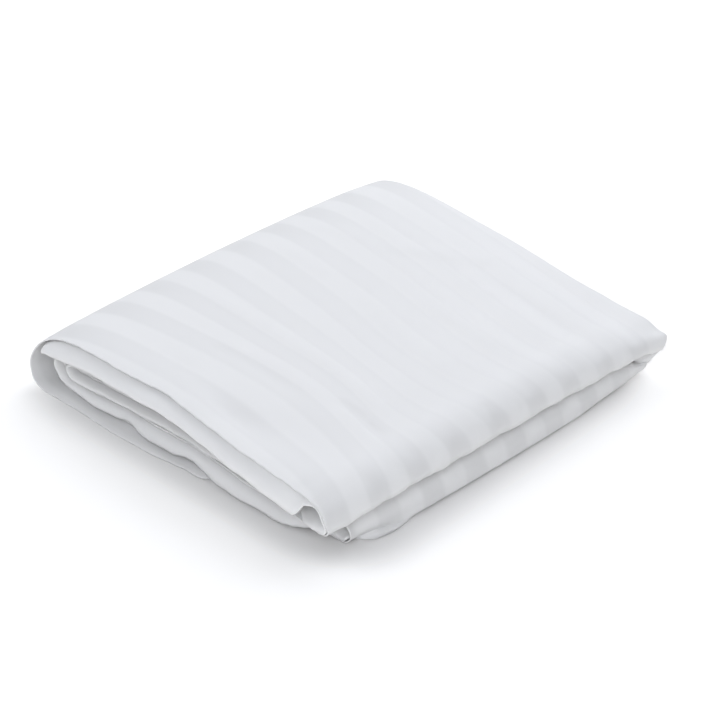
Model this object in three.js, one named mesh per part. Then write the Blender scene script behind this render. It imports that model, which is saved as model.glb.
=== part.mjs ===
// A folded duvet cover: one strip of cloth, folded back and forth and then in half.
// Millimetres, +Z up. X runs along the single big fold, which lies at +Y.
// Each layer of the strip is itself the cover's width folded in four, so it is thick.
import * as THREE from "three";
import { mergeVertices } from "three/addons/utils/BufferGeometryUtils.js";

// Driving sizes
const LAYER = 5.5;
const HALF_LAYER = LAYER / 2;
const HALF_LENGTH = 181;
const HALF_DEPTH = 161;
const COARSE_STEP = 34;
const TURN_STEPS = 8;
const SHOULDER_STEPS = 9;
const SHOULDER_POWER = 2.5;
const STATIONS = 18;
const RIM_REACH = 45;
const RIM_THINNING = 0.6;
const RIM_CROWDING = 0.6;

// The strip's middle line seen from the left end, from its inner free end to the other.
// Each row has its place and height, how the line goes on to the next row, and where the
// cloth ends on the left and on the right. A reach is how far a turn bulges out. At the
// left end a layer may be fuller (flare), end in a slope (slant) and hang lower (drop).
const COURSE = [
  { at: "inner layer, free end", y: -107, z: 21.3, on: "ease", left: -160, right: 159 },
  { at: "inner layer, below", y: -49, z: 24, on: "ease", left: -167, right: 165, flare: 0.7, drop: -4 },
  { at: "inner layer, below", y: 43, z: 23, on: "ease", left: -170, right: 167, flare: 0.7, drop: -3 },
  { at: "inner layer, below", y: 99, z: 18, on: "turn", reach: 6, left: -170, right: 167 },
  { at: "inner layer, above", y: 99, z: 26.5, on: "ease", left: -168, right: 167 },
  { at: "inner layer, above", y: 43, z: 31, on: "ease", left: -156, right: 167, flare: 0.7, drop: -1 },
  { at: "inner layer, above", y: -79, z: 31.5, on: "ease", left: -156, right: 167, flare: 0.7, drop: -1 },
  { at: "upper roll, under", y: -145, z: 25.5, on: "turn", reach: -13, left: -166, right: 180, drop: 2 },
  { at: "upper roll, over", y: -145, z: 45.5, on: "ease", left: -170, right: 173, drop: 1 },
  { at: "top, front", y: -79, z: 49.5, on: "ease", left: -174, right: 170, flare: 1.9, slant: 7 },
  { at: "top, middle", y: 11, z: 51.5, on: "ease", left: -176, right: 172, flare: 2.2, slant: 7 },
  { at: "top, back", y: 69, z: 51.5, on: "shoulder", left: -178, right: 173, flare: 1.7, slant: 5 },
  { at: "big fold", y: 153, z: 15, on: "heel", left: -180, right: 173 },
  { at: "floor, back", y: 138, z: HALF_LAYER, on: "ease", left: -180, right: 171 },
  { at: "floor, middle", y: -9, z: HALF_LAYER, on: "ease", left: -170, right: 169 },
  { at: "floor, front", y: -99, z: HALF_LAYER, on: "ease", left: -162, right: 163 },
  { at: "lower roll, under", y: -145, z: HALF_LAYER, on: "turn", reach: -11, left: -146, right: 155 },
  { at: "lower roll, over", y: -145, z: 16.5, on: "ease", left: -146, right: 158 },
  { at: "middle layer, below", y: -89, z: 12.5, on: "ease", left: -153, right: 163, flare: 2.2, slant: 4 },
  { at: "middle layer, below", y: 53, z: 12, on: "ease", left: -164, right: 165, flare: 2.2, slant: 4 },
  { at: "middle layer, below", y: 121, z: 9.5, on: "turn", reach: 12, left: -170, right: 166 },
  { at: "middle layer, above", y: 121, z: 34, on: "ease", left: -166, right: 166 },
  { at: "middle layer, above", y: 43, z: 39, on: "ease", left: -156, right: 166, flare: 0.7, drop: 2 },
  { at: "middle layer, above", y: -79, z: 39.5, on: "ease", left: -156, right: 165, flare: 0.7, drop: 2 },
  { at: "middle layer, free end", y: -133, z: 35.5, on: "end", left: -152, right: 161 },
];

// Soft swells and dents of the whole stack: place, reach each way, and share of height
const SWELLS = [
  { at: "low right-hand front corner", x: 196, y: -164, wide: 95, deep: 120, share: -0.31 },
  { at: "sagging right-hand side", x: 206, y: 31, wide: 60, deep: 130, share: -0.1 },
  { at: "full left-hand side", x: -150, y: 1, wide: 90, deep: 80, share: 0.04 },
  { at: "dent near the left edge", x: -140, y: -84, wide: 28, deep: 26, share: -0.05 },
];

// How far the ends hang lower than the middle, and how far two long sides bow out
const RIM_DROP_SHARE = 0.06;
const BIG_FOLD_BOW = 7;
const LOWER_ROLL_BOW = 5;
const LOWER_ROLL_HEIGHT = 24;

const smooth = (t) => t * t * (3 - 2 * t);
const clamp01 = (t) => Math.min(1, Math.max(0, t));
const mix = (a, b, t) => a + (b - a) * t;

// What a row says of the cloth's ends, eased towards the next row
function endsBetween(row, next, t) {
  const value = (name, plain) => mix(row[name] ?? plain, next[name] ?? plain, smooth(t));
  return { left: value("left", 0), right: value("right", 0), flare: value("flare", 1),
    slant: value("slant", 0), drop: value("drop", 0) };
}

// Where the line is after a share t of the way from one row to the next
function placeBetween(row, next, t) {
  const angle = t * Math.PI / 2;
  if (row.on === "turn") {
    const over = (1 - Math.cos(2 * angle)) / 2;
    return { y: row.y + row.reach * Math.sin(2 * angle), z: mix(row.z, next.z, over) };
  }
  if (row.on === "shoulder") {
    const across = Math.pow(Math.sin(angle), 2 / SHOULDER_POWER);
    const up = Math.pow(Math.cos(angle), 2 / SHOULDER_POWER);
    return { y: mix(row.y, next.y, across), z: mix(next.z, row.z, up) };
  }
  if (row.on === "heel") {
    return { y: mix(next.y, row.y, Math.cos(angle)), z: mix(row.z, next.z, Math.sin(angle)) };
  }
  return { y: mix(row.y, next.y, t), z: mix(row.z, next.z, smooth(t)) };
}

function middleLine() {
  const line = COURSE.slice(0, -1).flatMap((row, i) => {
    const next = COURSE[i + 1];
    const coarse = Math.ceil(Math.abs(next.y - row.y) / COARSE_STEP);
    const steps = { ease: coarse, turn: TURN_STEPS, shoulder: SHOULDER_STEPS, heel: TURN_STEPS / 2 }[row.on];
    return Array.from({ length: steps }, (_, k) => k / steps)
      .map((t) => ({ ...placeBetween(row, next, t), ...endsBetween(row, next, t) }));
  });
  const last = COURSE[COURSE.length - 1];
  return [...line, { y: last.y, z: last.z, ...endsBetween(last, last, 0) }];
}

// The way across the layer at each point, a quarter turn from the way along it
function waysAcross(line) {
  return line.map((_, i) => {
    const before = line[Math.max(0, i - 1)];
    const after = line[Math.min(line.length - 1, i + 1)];
    const along = new THREE.Vector2(after.y - before.y, after.z - before.z).normalize();
    return new THREE.Vector2(-along.y, along.x);
  });
}

function heightShare(x, y) {
  return SWELLS.reduce((share, swell) => {
    const away = ((x - swell.x) / swell.wide) ** 2 + ((y - swell.y) / swell.deep) ** 2;
    return share + swell.share * Math.exp(-away);
  }, 1);
}

// A point of the even stack moved to where the uneven cloth has it
function settle(x, y, z, rim) {
  const middle = 1 - (x / HALF_LENGTH) ** 2;
  const back = BIG_FOLD_BOW * middle * clamp01(y / HALF_DEPTH);
  const front = LOWER_ROLL_BOW * middle * clamp01(-y / HALF_DEPTH) * clamp01(1 - z / LOWER_ROLL_HEIGHT);
  return [x, y + back - front, z * heightShare(x, y) * (1 - RIM_DROP_SHARE * rim * rim)];
}

// Shares of the way from left to right, closer together near both ends
function stationShares() {
  return Array.from({ length: STATIONS }, (_, j) => {
    const even = j / (STATIONS - 1);
    return mix(even, (1 - Math.cos(even * Math.PI)) / 2, RIM_CROWDING);
  });
}

// One corner pair of the strip: a point on its outer and on its inner side
function sidesOfLayer(point, across, share) {
  return [-1, 1].map((side) => {
    const upper = side * across.y > 0 ? 1 : 0;
    const left = point.left + point.slant * upper;
    const x = mix(left, point.right, share);
    const leftRim = 1 - clamp01((x - left) / RIM_REACH);
    const rightRim = 1 - clamp01((point.right - x) / RIM_REACH);
    const atEnd = share === 0 || share === 1 ? RIM_THINNING : 1;
    const half = HALF_LAYER * atEnd * mix(1, point.flare, smooth(leftRim));
    const y = point.y + side * half * across.x;
    const z = point.z + side * half * across.y - point.drop * smooth(leftRim);
    return settle(x, y, z, Math.max(leftRim, rightRim));
  });
}

function stripGeometry() {
  const line = middleLine();
  const across = waysAcross(line);
  const shares = stationShares();
  const pointsAt = (point, i) => shares.flatMap((share) => sidesOfLayer(point, across[i], share).flat());
  const positions = line.flatMap(pointsAt);
  const faces = [];
  const vertex = (i, j, side) => (i * STATIONS + j) * 2 + side;
  const quad = (a, b, c, d) => faces.push(a, b, c, a, c, d);
  const last = line.length - 1;
  const end = STATIONS - 1;
  for (let i = 0; i < last; i += 1) {
    for (let j = 0; j < end; j += 1) {
      quad(vertex(i, j, 1), vertex(i, j + 1, 1), vertex(i + 1, j + 1, 1), vertex(i + 1, j, 1));
      quad(vertex(i, j, 0), vertex(i + 1, j, 0), vertex(i + 1, j + 1, 0), vertex(i, j + 1, 0));
    }
    quad(vertex(i, 0, 0), vertex(i, 0, 1), vertex(i + 1, 0, 1), vertex(i + 1, 0, 0));
    quad(vertex(i, end, 0), vertex(i + 1, end, 0), vertex(i + 1, end, 1), vertex(i, end, 1));
  }
  for (let j = 0; j < end; j += 1) {
    quad(vertex(0, j, 0), vertex(0, j + 1, 0), vertex(0, j + 1, 1), vertex(0, j, 1));
    quad(vertex(last, j, 0), vertex(last, j, 1), vertex(last, j + 1, 1), vertex(last, j + 1, 0));
  }
  const geometry = new THREE.BufferGeometry();
  geometry.setAttribute("position", new THREE.Float32BufferAttribute(positions, 3));
  geometry.setIndex(faces);
  return mergeVertices(geometry);
}

const whiteCotton = new THREE.MeshStandardMaterial({ color: 0xeceef1, roughness: 0.8, metalness: 0 });

function foldedCover() {
  const geometry = stripGeometry();
  geometry.computeBoundingBox();
  const centre = geometry.boundingBox.getCenter(new THREE.Vector3());
  geometry.translate(-centre.x, -centre.y, 0);
  geometry.computeVertexNormals();
  const mesh = new THREE.Mesh(geometry, whiteCotton);
  mesh.name = "folded_cover";
  return mesh;
}

const group = new THREE.Group();
group.add(foldedCover());
export default group;
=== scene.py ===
"""A folded duvet cover of white striped cotton, as one thin sheet on the folds of its solid.

The cover is folded in four across, so each layer is four plies that zigzag between its left
and right ends. That strip is then folded in three and in half, along the course below.
Millimetres in the tables, metres in Blender. +Z is up and +X runs along the single big fold.
"""
import math

import bpy
import numpy as np
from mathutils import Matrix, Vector


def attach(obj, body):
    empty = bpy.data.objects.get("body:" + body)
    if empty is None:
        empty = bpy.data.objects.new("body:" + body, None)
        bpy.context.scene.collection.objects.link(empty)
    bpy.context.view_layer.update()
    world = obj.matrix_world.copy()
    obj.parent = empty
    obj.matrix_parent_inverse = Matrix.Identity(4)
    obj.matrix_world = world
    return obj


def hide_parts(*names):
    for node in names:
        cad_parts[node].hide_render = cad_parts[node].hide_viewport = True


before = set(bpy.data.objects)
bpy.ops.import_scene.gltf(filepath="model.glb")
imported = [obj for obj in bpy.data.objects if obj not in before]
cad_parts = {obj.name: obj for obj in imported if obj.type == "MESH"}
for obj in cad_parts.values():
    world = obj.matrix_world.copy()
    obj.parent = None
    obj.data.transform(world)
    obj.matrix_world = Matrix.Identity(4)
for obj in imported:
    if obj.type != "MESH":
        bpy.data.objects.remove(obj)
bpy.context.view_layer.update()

MM = 0.001

# Driving sizes of the stack
LAYER = 5.5
HALF_LAYER = LAYER / 2
HALF_LENGTH = 181
HALF_DEPTH = 161
PLY_THICKNESS = 0.9

# How square the turns are: 2 is round, more is squarer
SHOULDER_POWER = 2.5
ROLL_POWER_UNDER = 3.0
ROLL_POWER_OVER = 2.1

# How far the ends hang lower than the middle, and how far two long sides bow out
RIM_REACH = 45
RIM_DROP_SHARE = 0.06
BIG_FOLD_BOW = 7
LOWER_ROLL_BOW = 5
LOWER_ROLL_HEIGHT = 24

# The cloth's paint
SATIN_COLOUR = (0.73, 0.725, 0.717, 1)
PLAIN_COLOUR = (0.79, 0.785, 0.776, 1)
SATIN_ROUGHNESS = 0.5
PLAIN_ROUGHNESS = 0.85
SPECULAR_LEVEL = 0.8

# Where the four plies lie across a layer, as shares of its half thickness
PLY_PLACES = (0.78, 0.27, -0.27, -0.78)

# Near the right end they lie closer to the two folds there, and the lower fold is shorter
RIGHT_PLACES = (0.88, 0.12, -0.12, -0.88)
RIGHT_REACH = 26
RIGHT_BULGE = 1.5
RIGHT_FOLD_STEPS = 6
UNDER_SHORTER = 4

# Near the left end the two middle plies lie this far from the outer ones, and their fold starts
# to bend this far inside. The stripes on the inner plies start from the last place.
PLY_GAP = 1.3
FOLD_DEPTH = 22
HANGING_EASE = 3
INNER_FOLD = -178


def row(at, y, z, on, reach=0.0, step=13.0):
    """One place on the course of the strip's middle line, seen from the left end.

    on says how the line goes on to the next row, reach how far a turn bulges out, and step how
    far apart its points are.
    """
    return dict(at=at, y=y, z=z, on=on, reach=reach, step=step)


COURSE = [
    row("inner free end", -107, 21.3, "ease"),
    row("inner low front", -49, 24, "ease"),
    row("inner low middle", 43, 22.5, "ease", step=9),
    row("inner turn below", 111, 21, "turn", reach=9),
    row("inner turn above", 111, 31, "ease"),
    row("inner high middle", 43, 31, "ease"),
    row("inner high front", -79, 31.5, "ease"),
    row("upper roll under", -145, 25.5, "roll", reach=-19),
    row("upper roll over", -133, 46.8, "ease", step=3),
    row("top front", -79, 49.5, "ease", step=3.5),
    row("top middle", 11, 51.5, "ease", step=3.5),
    row("top back", 69, 51.5, "shoulder", step=3),
    row("big fold", 153, 15, "heel", step=3),
    row("floor back", 138, 2.75, "ease", step=8),
    row("floor middle", -9, 2.75, "ease", step=9),
    row("floor front", -99, 2.75, "ease"),
    row("lower roll under", -145, 2.75, "roll", reach=-12),
    row("lower roll over", -143, 18, "ease", step=4),
    row("middle low front", -89, 12.5, "ease", step=8),
    row("middle low back", 53, 12, "ease", step=8),
    row("middle turn below", 121, 11, "turn", reach=11),
    row("middle turn above", 121, 37, "ease", step=9),
    row("middle high back", 43, 39, "ease"),
    row("middle high front", -79, 39.5, "ease"),
    row("middle free end", -133, 35.5, "end"),
]
OUTER_COLUMNS = 68
INNER_COLUMNS = 5
TURN_STEPS = 14
ROLL_STEPS = 20
SHOULDER_STEPS = 24
HEEL_STEPS = 8
STEPS = {"turn": TURN_STEPS, "roll": ROLL_STEPS, "shoulder": SHOULDER_STEPS, "heel": HEEL_STEPS}
STAGE = {place["at"]: i for i, place in enumerate(COURSE)}


def left_end(at, share, edge, fold=None, last=None, top=2.15, crease=0.0, bottom=-2.15,
             drop=0.0, pull=0.0):
    """The left end of the four plies, a share of the way from one row of the course to the next.

    edge, fold and last are the places along X of the outermost ply's edge, of the fold of the
    two middle plies and of the innermost ply's edge. top, crease and bottom are their places
    across the layer. drop lets the end hang, and pull moves it along Y.
    """
    fold = edge - 1 if fold is None else fold
    last = edge + 4 if last is None else last
    return dict(stage=STAGE[at] + share, edge=edge, fold=fold, last=last, top=top, crease=crease,
                bottom=bottom, drop=drop, pull=pull)


LEFT_END = [
    left_end("inner free end", 0, -156),
    left_end("inner low front", 0, -156, fold=-161, top=3.2, crease=-2.5, bottom=-3.6),
    left_end("inner low front", 0.25, -157, fold=-163, top=3.2, crease=-2.5, bottom=-3.6),
    left_end("inner low front", 0.45, -156, fold=-161.5, top=3.2, crease=-2.5, bottom=-3.6),
    left_end("inner low front", 0.7, -156, fold=-161.8, top=3.2, crease=-2.5, bottom=-3.6),
    left_end("inner low middle", 0, -159, fold=-164.5, top=3.2, crease=-2.5, bottom=-3.6),
    left_end("inner low middle", 0.45, -161, fold=-167, top=3.2, crease=-2.5, bottom=-3.6),
    left_end("inner low middle", 0.85, -163, fold=-169.5, top=3.2, crease=-2, bottom=-3.6),
    left_end("inner turn below", 0, -164, fold=-170.5, last=-162, top=3.2, crease=-1, bottom=-3.2),
    left_end("inner turn below", 0.5, -163, fold=-169.5, last=-161, top=3.2, bottom=-3.2),
    left_end("inner turn above", 0, -162, fold=-168, last=-160, top=3.2, bottom=-3.2),
    left_end("inner high middle", 0, -158),
    left_end("inner high front", 0, -161),
    left_end("inner high front", 0.6, -163, fold=-156, last=-154, drop=5),
    left_end("inner high front", 0.72, -166.5, fold=-164, last=-154, crease=0.5, bottom=-5, drop=3),
    left_end("inner high front", 0.85, -168, fold=-168.5, last=-155, crease=0.5, bottom=-10, drop=1.2),
    left_end("upper roll under", 0, -168.5, fold=-169.3, last=-155, crease=0.6, bottom=-14,
             drop=0.5, pull=1),
    left_end("upper roll under", 0.15, -169.5, fold=-170.2, last=-155, crease=0.6, bottom=-14,
             drop=-1, pull=2),
    left_end("upper roll under", 0.3, -170.5, fold=-171, last=-155, crease=0.6, bottom=-12,
             drop=-1.2, pull=2),
    left_end("upper roll under", 0.5, -170.5, fold=-170.5, last=-155, crease=0.5, bottom=-10,
             drop=0.5, pull=1),
    left_end("upper roll under", 0.8, -169, fold=-168, last=-157, top=2.5, crease=0, bottom=-9,
             drop=1.5),
    left_end("upper roll under", 0.93, -169.5, fold=-170, last=-162, top=3, crease=-3, bottom=-3,
             drop=1),
    left_end("upper roll over", 0.03, -169.5, fold=-174.8, last=-163, top=3, crease=-14.5, bottom=-3,
             drop=0.5),
    left_end("upper roll over", 0.2, -170, fold=-176, last=-163, top=4, crease=-14, bottom=-3),
    left_end("upper roll over", 0.35, -170, fold=-178.5, last=-164, top=4, crease=-10.5, bottom=-3),
    left_end("top front", 0, -171, fold=-178, last=-163, top=4.5, crease=-8.4, bottom=-3),
    left_end("top front", 0.45, -169, fold=-178, last=-163, top=5, crease=-4.3, bottom=-3),
    left_end("top middle", 0, -167, fold=-177, last=-162, top=5.5, crease=-3.7, bottom=-3),
    left_end("top middle", 0.45, -169, fold=-178, last=-163, top=5, crease=-4.2, bottom=-3),
    left_end("top back", 0, -170, fold=-178, last=-164, top=5, crease=-6, bottom=-3),
    left_end("top back", 0.25, -169.5, fold=-178, last=-164, top=4, crease=-8, bottom=-3),
    left_end("top back", 0.4, -169.5, fold=-178, last=-164, top=3.5, crease=-7, bottom=-3),
    left_end("top back", 0.6, -170, fold=-178, last=-160, top=3, crease=-4),
    left_end("top back", 0.75, -171.5, fold=-170, last=-158, top=3, crease=-2),
    left_end("top back", 0.85, -175, fold=-156, last=-154),
    left_end("big fold", 0, -177, fold=-155, last=-154),
    left_end("floor back", 0, -179.5, fold=-157, last=-155),
    left_end("floor back", 0.12, -178, fold=-162, last=-160),
    left_end("floor back", 0.6, -176, fold=-162, last=-160),
    left_end("floor back", 0.78, -174, fold=-160, last=-158),
    left_end("floor back", 0.9, -171, fold=-158, last=-157),
    left_end("floor middle", 0, -168, fold=-157, last=-156),
    left_end("floor middle", 0.17, -169, fold=-157, last=-155, drop=-1),
    left_end("floor middle", 0.29, -155, fold=-154, last=-153),
    left_end("floor front", 0, -152, fold=-150, last=-148),
    left_end("floor front", 0.75, -149, fold=-149, last=-136, crease=0.6, bottom=-8, drop=-4),
    left_end("lower roll under", 0, -145, fold=-145.7, last=-133, crease=0.6, bottom=-9, pull=3),
    left_end("lower roll under", 0.2, -145.5, fold=-146, last=-132, crease=0.6, bottom=-5,
             drop=-1, pull=3),
    left_end("lower roll under", 0.33, -146, fold=-136, last=-130, drop=-1, pull=3),
    left_end("lower roll under", 0.5, -146, fold=-132, last=-130, pull=1.5),
    left_end("lower roll over", 0, -147, fold=-136, last=-134, pull=1),
    left_end("lower roll over", 0.45, -153, fold=-157, last=-152, top=3, crease=-10.5, bottom=-4),
    left_end("lower roll over", 0.6, -156, fold=-160.5, last=-155, top=3.3, crease=-11, bottom=-5),
    left_end("lower roll over", 0.75, -159, fold=-163, last=-157, top=3.6, crease=-10.5, bottom=-5),
    left_end("middle low front", 0, -160, fold=-164, last=-158, top=3.6, crease=-9.5, bottom=-5),
    left_end("middle low front", 0.2, -161, fold=-166, last=-160, top=3.6, crease=-9.3, bottom=-5),
    left_end("middle low front", 0.35, -160, fold=-165, last=-160, top=3.6, crease=-9, bottom=-5),
    left_end("middle low front", 0.48, -159, fold=-162.5, last=-158, top=3.6, crease=-8, bottom=-5),
    left_end("middle low front", 0.58, -158, fold=-160.5, last=-156, top=3.6, crease=-7.5, bottom=-5),
    left_end("middle low front", 0.68, -160, fold=-166, last=-158, top=3.6, crease=-7.5, bottom=-5),
    left_end("middle low front", 0.9, -162, fold=-167.3, last=-160, top=3.6, crease=-7.5, bottom=-5),
    left_end("middle low back", 0, -160, fold=-163, last=-160, top=3.6, crease=-7, bottom=-4.6),
    left_end("middle low back", 0.1, -160, fold=-162.2, last=-160, top=3.6, crease=-7, bottom=-4.6),
    left_end("middle low back", 0.25, -162, fold=-166, last=-162, top=3.6, crease=-7, bottom=-4.6),
    left_end("middle low back", 0.6, -165, fold=-168.7, last=-163, top=3.5, crease=-6.5, bottom=-4.6),
    left_end("middle turn below", 0, -163, fold=-168, last=-161, top=3.2, crease=-4.5, bottom=-4),
    left_end("middle turn below", 0.25, -164, fold=-169.5, last=-161, top=3.2, crease=-2, bottom=-3.4),
    left_end("middle turn below", 0.5, -165, fold=-171.5, last=-162, top=3.2, bottom=-3.2),
    left_end("middle turn below", 0.75, -165, fold=-170.5, last=-162, top=3.2, bottom=-3.2),
    left_end("middle turn above", 0, -164, fold=-168, last=-160, top=3.2, bottom=-3.2),
    left_end("middle high back", 0, -163),
    left_end("middle free end", 0, -152),
]
LEFT_VALUES = ("edge", "fold", "last", "top", "crease", "bottom", "drop", "pull")


# How raggedly the plies end on the left: where along the cloth the waves start, and their size
RAGGED = {"edge": (0, 0.5), "fold": (31, 0.5), "last": (73, 0.6), "crease": (55, 0.3)}
RAGS = [(97, 0.7), (53, 0.4), (31, 0.35), (17, 0.35), (9, 0.2)]


def right_end(at, share, right, drop=0.0, pull=0.0, reach=25.0):
    """The right end of the four plies: where it is along X, and how it hangs and is pulled along Y."""
    return dict(stage=STAGE[at] + share, right=right, right_drop=drop, right_pull=pull, reach=reach)


RIGHT_END = [
    right_end("inner free end", 0, 159),
    right_end("inner low middle", 0, 166),
    right_end("inner turn above", 0, 167),
    right_end("inner high middle", 0, 167),
    right_end("inner high front", 0, 166),
    right_end("inner high front", 0.7, 164, drop=12),
    right_end("upper roll under", 0, 163, drop=16, pull=-9, reach=20),
    right_end("upper roll under", 0.05, 162.5, drop=12, pull=-6, reach=20),
    right_end("upper roll under", 0.1, 171.5, drop=5.5, pull=-4, reach=18),
    right_end("upper roll under", 0.15, 171, drop=2.5, pull=5, reach=16),
    right_end("upper roll under", 0.2, 172.5, drop=3.5, pull=-2, reach=18),
    right_end("upper roll under", 0.3, 171.5, drop=1.5, reach=20),
    right_end("upper roll under", 0.4, 172.5, drop=1.5, reach=20),
    right_end("upper roll under", 0.5, 177.5, drop=2, reach=20),
    right_end("upper roll under", 0.7, 176, drop=4.5, reach=24),
    right_end("upper roll under", 0.9, 175.5, drop=1, reach=24),
    right_end("upper roll over", 0, 174, drop=0, reach=24),
    right_end("upper roll over", 0.5, 172, drop=-0.5),
    right_end("top front", 0, 170, drop=-0.5),
    right_end("top middle", 0, 172),
    right_end("top back", 0, 173),
    right_end("big fold", 0, 173),
    right_end("floor back", 0, 171),
    right_end("floor middle", 0, 169),
    right_end("floor front", 0, 163),
    right_end("lower roll under", 0, 141),
    right_end("lower roll under", 0.25, 148, drop=-1.5, pull=2),
    right_end("lower roll under", 0.5, 159.5, drop=1, pull=1.5, reach=20),
    right_end("lower roll over", 0, 158, drop=12, pull=2, reach=20),
    right_end("lower roll over", 0.5, 163, drop=6),
    right_end("middle low front", 0, 163),
    right_end("middle low back", 0, 165),
    right_end("middle turn below", 0, 166),
    right_end("middle high back", 0, 166),
    right_end("middle free end", 0, 161),
]
RIGHT_VALUES = ("right", "right_drop", "right_pull", "reach")

# Soft swells and dents of the whole stack above a base, as shares of the height over it
SWELLS = [
    dict(at="low right-hand front corner", x=196, y=-164, wide=95, deep=120, share=-0.44, base=20),
    dict(at="sagging right-hand side", x=206, y=31, wide=60, deep=130, share=-0.1, base=0),
    dict(at="full left-hand side", x=-150, y=1, wide=90, deep=80, share=0.04, base=0),
    dict(at="dent near the left edge", x=-140, y=-84, wide=28, deep=26, share=-0.05, base=0),
]

# Hollows in one layer, from a height up to another
HOLLOW_EASE = 3
HOLLOWS = [
    dict(at="slack by the left edge", x=-151, y=-46, wide=13, deep=28, from_z=44, to_z=70, depth=2.6),
    dict(at="dimple by the left edge", x=-151, y=27, wide=8, deep=11, from_z=44, to_z=70, depth=0.8),
    dict(at="second dimple", x=-155, y=4, wide=8, deep=9, from_z=44, to_z=70, depth=0.7),
    dict(at="sag below the upper roll", x=163, y=-146, wide=12, deep=14, from_z=10, to_z=27, depth=8),
]

# Ridges and troughs of the top layer: the course of each, its half width and its height. They
# are on all that lies above a height, and fade towards their ends to a small share.
CREASED_FROM, CREASED_EASE = 36, 6
CREASE_FADE = 0.2
CREASE_END = 0.15
CREASES = [
    dict(at="long ridge left of the middle", wide=5, height=0.8,
         line=[(-58, 118), (-56, 60), (-56, 0), (-57, -50), (-62, -85), (-70, -120)]),
    dict(at="short ridge left of it", wide=5, height=0.6,
         line=[(-96, 45), (-90, 10), (-87, -30), (-88, -72)]),
    dict(at="valley beside the short ridge", wide=7, height=-0.35,
         line=[(-100, 38), (-98, 0), (-98, -62)]),
    dict(at="sharp tuck at the front", wide=3, height=-1.2,
         line=[(-83, -74), (-84, -100), (-88, -130)]),
    dict(at="long valley by the left edge", wide=7, height=-1.1,
         line=[(-135, 62), (-136, 25), (-142, -5), (-144, -40), (-141, -74)]),
    dict(at="ridge in front of the middle", wide=6, height=0.7,
         line=[(26, 8), (14, -30), (7, -65), (3, -112)]),
    dict(at="ridge right of the middle", wide=5, height=0.6,
         line=[(56, -18), (54, -60), (50, -108)]),
    dict(at="ridge at the right front", wide=9, height=1.1,
         line=[(124, -25), (122, -60), (121, -100), (117, -140)]),
    dict(at="valley beside it", wide=8, height=-0.9,
         line=[(142, -30), (147, -60), (146, -100), (143, -134)]),
    dict(at="slant ridge at the right", wide=9, height=0.9,
         line=[(88, 46), (105, 20), (122, -8), (137, -28)]),
    dict(at="ridge at the back", wide=7, height=0.5, line=[(34, 120), (30, 80), (28, 45)]),
    dict(at="ridge at the right back", wide=7, height=0.5, line=[(70, 120), (78, 88), (82, 66)]),
]

# Near its left end the lower roll stands back, and its lowest cloth lies out flat as a lip. The
# rest of the roll has a foot that reaches out a little.
LIP_X = (-142, -137, -134, -132, -129.5, -118, -104, -96, -86)
LIP_REACH = (0, 1, 5, 10, 14, 12.5, 6, 4, 0)
LIP_LOW, LIP_HEIGHT = 0.7, 1.4
FOOT_X = (-118, -104, 80, 120)
FOOT_REACH = (0, 3.5, 3.5, 0)
FOOT_HEIGHT = 6
FOOT_START = 1.15
STANDS_BACK = dict(x=-126, wide=26, size=2.6, low=1.5, low_ease=2, high=24, high_ease=4)

# Puckers of the cloth along the front rolls, in waves along X that lean with the height
PUCKERS = [
    dict(length=41, start=12, size=0.5, lean=0.3),
    dict(length=23, start=3, size=0.4, lean=-0.4),
    dict(length=13, start=7, size=0.22, lean=0.5),
]
PUCKERED_FROM = -136
PUCKER_EASE = 14

# The upper roll's lower edge, rising and falling along X
ROLL_EDGE_X = (-150, -134, -118, -98, -78, -60, -42, -20, 7, 21, 44, 78, 108, 136, 158)
ROLL_EDGE_RISE = (-0.6, 0.4, 2.2, 1.2, 2.3, 0, 0.9, 0.4, 0.7, -1.3, 0.5, -1, -1.4, -1.6, 0)
ROLL_EDGE_LOW, ROLL_EDGE_EASE = 17, 5
ROLL_EDGE_HIGH, ROLL_EDGE_FADE = 42, 14

# The woven stripes: one is satin and one plain in each repeat, and the edges are shares of a
# repeat away from the satin one's middle. Then the places along X of the middles of the satin
# ones, on the two front rolls, along the top and on the shoulder.
STRIPE_REPEAT = 40.0
SATIN_EDGE, PLAIN_EDGE = 0.19, 0.31
REPEATS_AHEAD = 10
SATIN_PLACES = [
    dict(at="lower roll over", share=0.0, x=(-150, -110, -70, -27, 14, 54, 92, 130, 168)),
    dict(at="upper roll under", share=0.5, x=(-160, -123, -85, -45, -5, 36, 70, 108, 146)),
    dict(at="upper roll over", share=0.38, x=(-150, -108, -82, -52, -16, 27, 63, 101, 144)),
    dict(at="top front", share=0.2, x=(-146, -99, -71, -45, -16, 30, 68, 105, 147)),
    dict(at="top middle", share=0.0, x=(-146, -101, -72, -39, -2, 41, 78, 113, 154)),
    dict(at="top back", share=0.25, x=(-153, -111, -71, -31, 11, 50, 88, 122, 163)),
    dict(at="top back", share=0.6, x=(-157, -114, -71, -29, 13, 52, 89, 124, 166)),
]


def smooth(t):
    t = np.clip(t, 0.0, 1.0)
    return t * t * (3 - 2 * t)


def mix(a, b, t):
    return a + (b - a) * t


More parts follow.
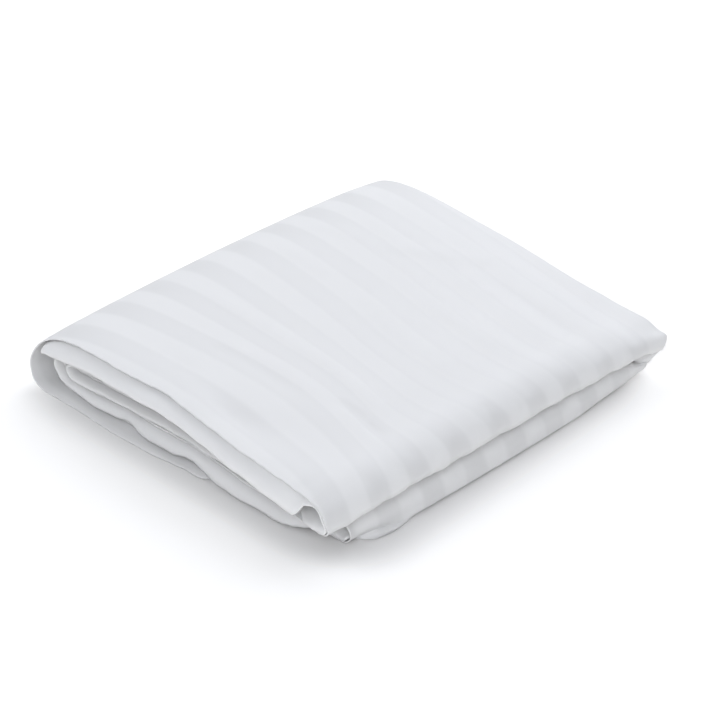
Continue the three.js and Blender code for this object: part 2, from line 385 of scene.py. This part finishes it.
def place_between(start, end, t):
    """The line's place along Y and its height, a share t of the way from one row to the next."""
    angle = t * math.pi / 2
    if start["on"] == "turn":
        over = (1 - math.cos(2 * angle)) / 2
        return start["y"] + start["reach"] * math.sin(2 * angle), mix(start["z"], end["z"], over)
    if start["on"] == "roll":
        power = 2 / (ROLL_POWER_UNDER if t < 0.5 else ROLL_POWER_OVER)
        down = math.cos(2 * angle)
        over = (1 - math.copysign(abs(down) ** power, down)) / 2
        out = abs(math.sin(2 * angle)) ** power
        return mix(start["y"], end["y"], over) + start["reach"] * out, mix(start["z"], end["z"], over)
    if start["on"] == "shoulder":
        across = math.sin(angle) ** (2 / SHOULDER_POWER)
        up = math.cos(angle) ** (2 / SHOULDER_POWER)
        return mix(start["y"], end["y"], across), mix(end["z"], start["z"], up)
    if start["on"] == "heel":
        return mix(end["y"], start["y"], math.cos(angle)), mix(start["z"], end["z"], math.sin(angle))
    return mix(start["y"], end["y"], t), mix(start["z"], end["z"], float(smooth(t)))


def course_samples():
    """The middle line in small steps: its places, the ways across it, its length and its stages."""
    places, stages = [], []
    for i, (start, end) in enumerate(zip(COURSE[:-1], COURSE[1:])):
        even = math.ceil(abs(end["y"] - start["y"]) / start["step"])
        steps = STEPS.get(start["on"], even)
        for k in range(steps):
            places.append(place_between(start, end, k / steps))
            stages.append(i + k / steps)
    places.append((COURSE[-1]["y"], COURSE[-1]["z"]))
    stages.append(len(COURSE) - 1.0)
    line, stages = np.array(places), np.array(stages)
    along = np.gradient(line, axis=0)
    along /= np.linalg.norm(along, axis=1, keepdims=True)
    across = np.stack([-along[:, 1], along[:, 0]], 1)
    length = np.concatenate([[0], np.cumsum(np.linalg.norm(np.diff(line, axis=0), axis=1))])
    return line, across, length, stages


def eased(stages, rows, name):
    """A column of a table, eased from row to row along the course."""
    at = np.array([r["stage"] for r in rows])
    values = np.array([r[name] for r in rows])
    i = np.clip(np.searchsorted(at, stages, side="right") - 1, 0, len(at) - 2)
    return mix(values[i], values[i + 1], smooth((stages - at[i]) / (at[i + 1] - at[i])))


def end_values(length, stages):
    """Where the plies end on the left and on the right at each point of the course."""
    ends = {name: eased(stages, LEFT_END, name) for name in LEFT_VALUES}
    for name, (start, size) in RAGGED.items():
        for period, share in RAGS:
            ends[name] += size * share * np.sin(2 * math.pi * (length + start) / period)
    return ends | {name: eased(stages, RIGHT_END, name) for name in RIGHT_VALUES}


# How far from a ply's left and right ends its first and last points are
LEFT_RIM = np.array([0, 1, 2.2, 3.8, 6, 9, 13, 18, 24, 31, 38])
SECOND_RIM = np.array([0, 5, 12, 20, 29])
THIRD_RIM = np.array([0, 12, 29])
LAST_RIM = np.array([0, 1.5, 4, 9, 18, 30])
RIGHT_RIM = np.array([22, 14, 8, 4, 1.5, 0])
BEND_SHARES = (0.04, 0.1, 0.2, 0.35, 0.55, 0.8)
BEND_STEPS = 14


def ply_between(left, right, near_left, near_right, inner_steps):
    """Places along X from the left end of a ply to its right end, close together near both."""
    first, last = left + near_left[-1], right - near_right[0]
    inner = [mix(first, last, k / inner_steps) for k in range(1, inner_steps)]
    return [left + d for d in near_left] + inner + [right - d for d in near_right]


def zigzag(ends):
    """X, the place across the layer and the ply number for each point of the four plies."""
    edge, right, fold, last = (ends[name] for name in ("edge", "right", "fold", "last"))
    top, crease, bottom = (ends[name] for name in ("top", "crease", "bottom"))
    rows_x, rows_n, kinds = [], [], []
    second_top = top - PLY_GAP

    def add(x, n, kind):
        rows_x.append(x)
        rows_n.append(n)
        kinds.append(kind)

    def place(ply, x, at_left):
        """Across the layer: even in the middle, as the table says on the left, apart on the right."""
        near_left = smooth(1 - (x - edge) / RIM_REACH)
        near_right = smooth(1 - (right - x) / RIGHT_REACH)
        share = mix(PLY_PLACES[ply], RIGHT_PLACES[ply], near_right)
        return mix(share * HALF_LAYER, at_left, near_left)

    # The outermost ply, from its free edge on the left to the fold on the right
    for x in ply_between(edge, right, LEFT_RIM, RIGHT_RIM, OUTER_COLUMNS):
        add(x, place(0, x, top), 0)
    right_fold(add, right, RIGHT_PLACES[0], RIGHT_PLACES[1])

    # The second ply comes back below it and bends down to the fold
    bend = np.minimum(edge, fold) + FOLD_DEPTH
    for x in ply_between(bend, right, SECOND_RIM, RIGHT_RIM, INNER_COLUMNS)[::-1]:
        add(x, place(1, x, second_top), 1)
    at_bend = place(1, bend, second_top)
    for angle in np.linspace(0, math.pi / 2, BEND_STEPS + 1)[1:]:
        add(bend - (bend - fold) * math.sin(angle), crease + (at_bend - crease) * math.cos(angle), 1)

    # The third ply goes back to the right, round below an even fold and flat from a hanging one
    back = place(2, bend, bottom + PLY_GAP)
    hanging = smooth((back - crease) / HANGING_EASE + 0.5)
    for t in BEND_SHARES:
        x = bend - (bend - fold) * (1 - t)
        round_n = crease + (back - crease) * math.sqrt(1 - (1 - t) ** 2)
        flat_n = mix(crease, back, float(smooth(t)))
        add(x, mix(round_n, flat_n, hanging), 2)
    for x in ply_between(bend, right - UNDER_SHORTER, THIRD_RIM, RIGHT_RIM, INNER_COLUMNS):
        add(x, place(2, x, bottom + PLY_GAP), 2)
    right_fold(add, right - UNDER_SHORTER, RIGHT_PLACES[2], RIGHT_PLACES[3])

    # The innermost ply comes back to its free edge on the left
    for x in ply_between(last, right - UNDER_SHORTER, LAST_RIM, RIGHT_RIM, INNER_COLUMNS)[::-1]:
        add(x, place(3, x, bottom), 3)
    return np.array(rows_x).T, np.array(rows_n).T, np.array(kinds)


def right_fold(add, x, from_share, to_share):
    """A small round fold at the right end, from one ply to the next."""
    middle = (from_share + to_share) / 2 * HALF_LAYER
    radius = (from_share - to_share) / 2 * HALF_LAYER
    for angle in np.linspace(math.pi / 2, -math.pi / 2, RIGHT_FOLD_STEPS + 1)[1:-1]:
        n = middle + radius * math.sin(angle)
        add(x + radius * RIGHT_BULGE * math.cos(angle), np.full_like(x, n), 0)


def swollen(x, y, z):
    """The height of a point after the soft swells and dents."""
    for s in SWELLS:
        near = np.exp(-((x - s["x"]) / s["wide"]) ** 2 - ((y - s["y"]) / s["deep"]) ** 2)
        z = z + s["share"] * near * np.maximum(z - s["base"], 0)
    return z


def hollowed(x, y, z):
    """The height of a point after the hollows of single layers."""
    for h in HOLLOWS:
        near = np.exp(-((x - h["x"]) / h["wide"]) ** 2 - ((y - h["y"]) / h["deep"]) ** 2)
        within = smooth((z - h["from_z"]) / HOLLOW_EASE) * smooth((h["to_z"] - z) / HOLLOW_EASE)
        z = z - h["depth"] * near * within
    return z


def away_from_line(x, y, line):
    """How far points are from a line of straight pieces, and how far along it from 0 to 1."""
    away = np.full(x.shape, 1e6)
    along = np.zeros(x.shape)
    for i, (start, end) in enumerate(zip(line[:-1], line[1:])):
        (ax, ay), (bx, by) = start, end
        share = ((x - ax) * (bx - ax) + (y - ay) * (by - ay)) / ((bx - ax) ** 2 + (by - ay) ** 2)
        share = np.clip(share, 0, 1)
        distance = np.hypot(x - mix(ax, bx, share), y - mix(ay, by, share))
        along = np.where(distance < away, (i + share) / (len(line) - 1), along)
        away = np.minimum(away, distance)
    return away, along


def creased(x, y, z):
    """The height of a point after the ridges and troughs of the top layer."""
    on_top = smooth((z - CREASED_FROM) / CREASED_EASE)
    for c in CREASES:
        away, along = away_from_line(x, y, c["line"])
        fading = smooth(along / CREASE_FADE) * smooth((1 - along) / CREASE_FADE)
        strength = mix(CREASE_END, 1, fading) * on_top
        z = z + c["height"] * np.exp(-(away / c["wide"]) ** 2) * strength
    return z


def pucker_at(pucker, x, z):
    """How far one wave of the puckers sets the front rolls back at a point."""
    across = x - pucker["start"] - pucker["lean"] * z
    return pucker["size"] * np.sin(2 * math.pi * across / pucker["length"])


def settle(x, y, z, rim):
    """A point of the even stack moved to where the uneven cloth has it."""
    middle = 1 - (x / HALF_LENGTH) ** 2
    back = BIG_FOLD_BOW * middle * np.clip(y / HALF_DEPTH, 0, 1)
    low = np.clip(1 - z / LOWER_ROLL_HEIGHT, 0, 1)
    front = LOWER_ROLL_BOW * middle * np.clip(-y / HALF_DEPTH, 0, 1) * low
    settled = swollen(x, y, z) * (1 - RIM_DROP_SHARE * rim * rim)
    on_front = smooth((PUCKERED_FROM - y) / PUCKER_EASE)
    waves = sum(pucker_at(p, x, z) for p in PUCKERS) * smooth(z / PUCKER_EASE)
    above = smooth((z - ROLL_EDGE_LOW) / ROLL_EDGE_EASE)
    below = smooth((ROLL_EDGE_HIGH - z) / ROLL_EDGE_FADE)
    settled = settled + np.interp(x, ROLL_EDGE_X, ROLL_EDGE_RISE) * above * below * on_front
    lip = np.interp(x, LIP_X, LIP_REACH) * smooth(1 - (z - LIP_LOW) / LIP_HEIGHT)
    foot = np.interp(x, FOOT_X, FOOT_REACH) * smooth(FOOT_START - z / FOOT_HEIGHT)
    behind = STANDS_BACK["size"] * np.exp(-((x - STANDS_BACK["x"]) / STANDS_BACK["wide"]) ** 2)
    behind = behind * smooth((z - STANDS_BACK["low"]) / STANDS_BACK["low_ease"])
    behind = behind * smooth((STANDS_BACK["high"] - z) / STANDS_BACK["high_ease"])
    y = y + back - front + (waves + behind - lip - foot) * on_front
    return x, y, creased(x, y, hollowed(x, y, settled))


def cloth_grid():
    """Every point of the cloth, as arrays along the course and across the plies."""
    line, across, length, stages = course_samples()
    ends = end_values(length, stages)
    x, n, kinds = zigzag(ends)
    from_left = x - ends["edge"][:, None]
    from_right = ends["right"][:, None] - x
    left_rim = 1 - np.clip(from_left / RIM_REACH, 0, 1)
    right_rim = 1 - np.clip(from_right / RIM_REACH, 0, 1)
    right_tip = smooth(1 - from_right / ends["reach"][:, None])
    moved = ends["pull"][:, None] * smooth(left_rim) + ends["right_pull"][:, None] * right_tip
    lowered = ends["drop"][:, None] * smooth(left_rim) + ends["right_drop"][:, None] * right_tip
    y = line[:, :1] + n * across[:, :1] + moved
    z = line[:, 1:] + n * across[:, 1:] - lowered
    x, y, z = settle(x, y, z, np.maximum(left_rim, right_rim))
    return np.stack([x, y, z], -1), length, stages, kinds


def satin_places(length, stages):
    """The places along X of the satin stripes at each point of the course, one column a stripe."""
    at = np.array([np.interp(STAGE[r["at"]] + r["share"], stages, length) for r in SATIN_PLACES])
    order = np.argsort(at)
    at, x = at[order], np.array([r["x"] for r in SATIN_PLACES], float)[order]
    slope = np.gradient(x, at, axis=0)
    where = np.clip(length, at[0], at[-1])
    i = np.clip(np.searchsorted(at, where) - 1, 0, len(at) - 2)
    gap = (at[i + 1] - at[i])[:, None]
    t = (where - at[i])[:, None] / gap
    straight = mix(x[i], x[i + 1], t)
    bend = (slope[i] * gap - (x[i + 1] - x[i])) * (1 - t) - (slope[i + 1] * gap - (x[i + 1] - x[i])) * t
    return straight + bend * t * (1 - t)


def cloth_places(x, length, stages, kinds):
    """The place of each point across the stripes, with a satin one at each whole repeat."""
    satin = satin_places(length, stages)
    before, after = satin[:, :1] - STRIPE_REPEAT, satin[:, -1:] + STRIPE_REPEAT
    places = np.hstack([before, satin, after])
    marks = STRIPE_REPEAT * np.arange(-1, satin.shape[1] + 1)
    outer = np.array([np.interp(x[i], places[i], marks) for i in range(len(x))])
    inner = x - INNER_FOLD + STRIPE_REPEAT / 2
    return np.where(kinds[None, :] == 0, outer, inner)


def grid_mesh(name, points, uvs):
    """An object of the grid's quads, with the places on the cloth as its UV layer."""
    rows, columns = points.shape[:2]
    index = np.arange(rows * columns).reshape(rows, columns)
    quads = np.stack([index[:-1, :-1], index[:-1, 1:], index[1:, 1:], index[1:, :-1]], -1).reshape(-1, 4)
    mesh = bpy.data.meshes.new(name)
    mesh.from_pydata(points.reshape(-1, 3).tolist(), [], quads.tolist())
    layer = mesh.uv_layers.new(name="cloth")
    layer.data.foreach_set("uv", uvs.reshape(-1, 2)[quads.reshape(-1)].astype(np.float32).ravel())
    mesh.shade_smooth()
    mesh.validate()
    obj = bpy.data.objects.new(name, mesh)
    bpy.context.scene.collection.objects.link(obj)
    return obj


def cotton_material():
    """White cotton with satin and plain stripes, the satin ones smoother and a little greyer."""
    material = bpy.data.materials.new("striped_cotton")
    material.use_nodes = True
    nodes, links = material.node_tree.nodes, material.node_tree.links
    shader = nodes["Principled BSDF"]

    def math_node(operation, value, number):
        node = nodes.new("ShaderNodeMath")
        node.operation = operation
        links.new(value, node.inputs[0])
        node.inputs[1].default_value = number
        return node.outputs[0]

    uv = nodes.new("ShaderNodeUVMap")
    uv.uv_map = "cloth"
    parts = nodes.new("ShaderNodeSeparateXYZ")
    links.new(uv.outputs["UV"], parts.inputs[0])
    repeats = math_node("MULTIPLY", parts.outputs["X"], 1000 / STRIPE_REPEAT)
    within = math_node("FRACT", math_node("ADD", repeats, REPEATS_AHEAD + 0.5), 0)
    from_middle = math_node("ABSOLUTE", math_node("SUBTRACT", within, 0.5), 0)
    plain = nodes.new("ShaderNodeMapRange")
    plain.interpolation_type = "SMOOTHSTEP"
    plain.inputs["From Min"].default_value = SATIN_EDGE
    plain.inputs["From Max"].default_value = PLAIN_EDGE
    links.new(from_middle, plain.inputs["Value"])
    colour = nodes.new("ShaderNodeMix")
    colour.data_type = "RGBA"
    colour.inputs["A"].default_value = SATIN_COLOUR
    colour.inputs["B"].default_value = PLAIN_COLOUR
    links.new(plain.outputs["Result"], colour.inputs["Factor"])
    links.new(colour.outputs["Result"], shader.inputs["Base Color"])
    roughness = nodes.new("ShaderNodeMapRange")
    roughness.inputs["To Min"].default_value = SATIN_ROUGHNESS
    roughness.inputs["To Max"].default_value = PLAIN_ROUGHNESS
    links.new(plain.outputs["Result"], roughness.inputs["Value"])
    shader.inputs["Specular IOR Level"].default_value = SPECULAR_LEVEL
    links.new(roughness.outputs["Result"], shader.inputs["Roughness"])
    return material


# The folded cover
grid, course_length, stages, ply_numbers = cloth_grid()
u = cloth_places(grid[:, :, 0], course_length, stages, ply_numbers)
v = np.broadcast_to(course_length[:, None], u.shape)
cover = grid_mesh("striped_cover", grid * MM, np.stack([u, v], -1) * MM)
skin = cover.modifiers.new("thickness", "SOLIDIFY")
skin.thickness = PLY_THICKNESS * MM
skin.offset = 0
skin.use_even_offset = False
cover.data.materials.append(cotton_material())
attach(cover, "root")
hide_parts("folded_cover")


# The floor, in metres, and the painted light of its emission: it glows from a little way off the cover
# outwards, so the floor stays darker round the cover as painted shade
FLOOR_HALF = 4
FLOOR_COLOUR = (0.78, 0.77, 0.755, 1)
# The floor's painted light: the half sizes of the box round the cover inside which it is off, the box's
# rounding, how far out it takes to rise, and its strength
PAINTED_LIGHT_STARTS = (0.111, 0.110, 0)
PAINTED_LIGHT_ROUNDING = 0.045
PAINTED_LIGHT_REACH = 0.038
PAINTED_LIGHT_STRENGTH = 0.32
FLOOR_PLACE = (-0.010, -0.002, -0.0005)
FLOOR_TURN = 0.05
COOL_WHITE = (0.95, 0.975, 1.03)
WORLD_STRENGTH = 0.02

# The lights, all aimed at the origin: place and width in metres, power in watts
LIGHTS = [
    dict(name="mirrored by the top", place=(1.5, 1.55, 1.45), size=2.0, power=14),
    dict(name="back", place=(0, 2.1, 1.4), size=2.4, power=14),
    dict(name="back left", place=(-1.3, 1.8, 1.5), size=1.6, power=16),
    dict(name="right", place=(1.9, 0, 1.3), size=3.0, power=44),
    dict(name="front left", place=(-1.5, -1.3, 1.3), size=1.6, power=31),
    dict(name="top", place=(0, 0, 2.5), size=1.6, power=6),
]


def add_camera():
    """The photograph's view: from the near left, 34 degrees up, through a long lens."""
    turn, rise, away = math.radians(44), math.radians(34), 1.893
    looks_at = Vector((0.0185, 0.0045, 0))
    view = Vector((math.sin(turn) * math.cos(rise), math.cos(turn) * math.cos(rise), -math.sin(rise)))
    data = bpy.data.cameras.new("camera")
    data.lens = 125
    data.sensor_width = 36
    camera = bpy.data.objects.new("camera", data)
    camera.location = looks_at - away * view
    camera.rotation_euler = view.to_track_quat("-Z", "Y").to_euler()
    bpy.context.scene.collection.objects.link(camera)
    bpy.context.scene.camera = camera


def add_stage():
    """A white floor that glows from a little way off the cover outwards: painted light on the far floor,
    which leaves painted shade round the cover.
    """
    mesh = bpy.data.meshes.new("floor")
    corners = [(-1, -1), (1, -1), (1, 1), (-1, 1)]
    mesh.from_pydata([(FLOOR_HALF * x, FLOOR_HALF * y, 0) for x, y in corners], [], [(0, 1, 2, 3)])
    floor = bpy.data.objects.new("floor", mesh)
    bpy.context.scene.collection.objects.link(floor)
    material = bpy.data.materials.new("floor")
    material.use_nodes = True
    nodes, links = material.node_tree.nodes, material.node_tree.links
    shader = nodes["Principled BSDF"]
    shader.inputs["Base Color"].default_value = FLOOR_COLOUR
    shader.inputs["Emission Color"].default_value = (1, 1, 1, 1)
    shader.inputs["Roughness"].default_value = 1.0
    shader.inputs["Specular IOR Level"].default_value = 0.0
    place = nodes.new("ShaderNodeTexCoord").outputs["Object"]

    def vector_node(operation, value, other):
        node = nodes.new("ShaderNodeVectorMath")
        node.operation = operation
        links.new(value, node.inputs[0])
        node.inputs[1].default_value = other
        return node.outputs["Value" if operation == "LENGTH" else "Vector"]

    # Emission is zero near the cover and rises outwards: painted light on the floor away from the cover,
    # painted shade next to it
    beside = vector_node("SUBTRACT", vector_node("ABSOLUTE", place, (0, 0, 0)), PAINTED_LIGHT_STARTS)
    away = vector_node("LENGTH", vector_node("MAXIMUM", beside, (0, 0, 0)), (0, 0, 0))
    painted_light = nodes.new("ShaderNodeMapRange")
    painted_light.interpolation_type = "SMOOTHSTEP"
    painted_light.inputs["From Min"].default_value = PAINTED_LIGHT_ROUNDING
    painted_light.inputs["From Max"].default_value = PAINTED_LIGHT_ROUNDING + PAINTED_LIGHT_REACH
    painted_light.inputs["To Max"].default_value = PAINTED_LIGHT_STRENGTH
    links.new(away, painted_light.inputs["Value"])
    links.new(painted_light.outputs["Result"], shader.inputs["Emission Strength"])
    mesh.materials.append(material)
    floor.location = FLOOR_PLACE
    floor.rotation_euler.z = FLOOR_TURN


def add_light(name, place, size, power):
    """A round lamp aimed at the origin."""
    data = bpy.data.lights.new(name, "AREA")
    data.shape = "DISK"
    data.size = size
    data.energy = power
    data.color = COOL_WHITE
    light = bpy.data.objects.new(name, data)
    light.location = place
    light.rotation_euler = (-Vector(place)).to_track_quat("-Z", "Y").to_euler()
    bpy.context.scene.collection.objects.link(light)


def add_world():
    world = bpy.data.worlds.new("studio")
    world.use_nodes = True
    background = world.node_tree.nodes["Background"]
    background.inputs["Color"].default_value = COOL_WHITE + (1,)
    background.inputs["Strength"].default_value = WORLD_STRENGTH
    bpy.context.scene.world = world


# The picture
add_camera()
add_stage()
add_world()
for light in LIGHTS:
    add_light(**light)
bpy.context.scene.view_settings.view_transform = "Standard"
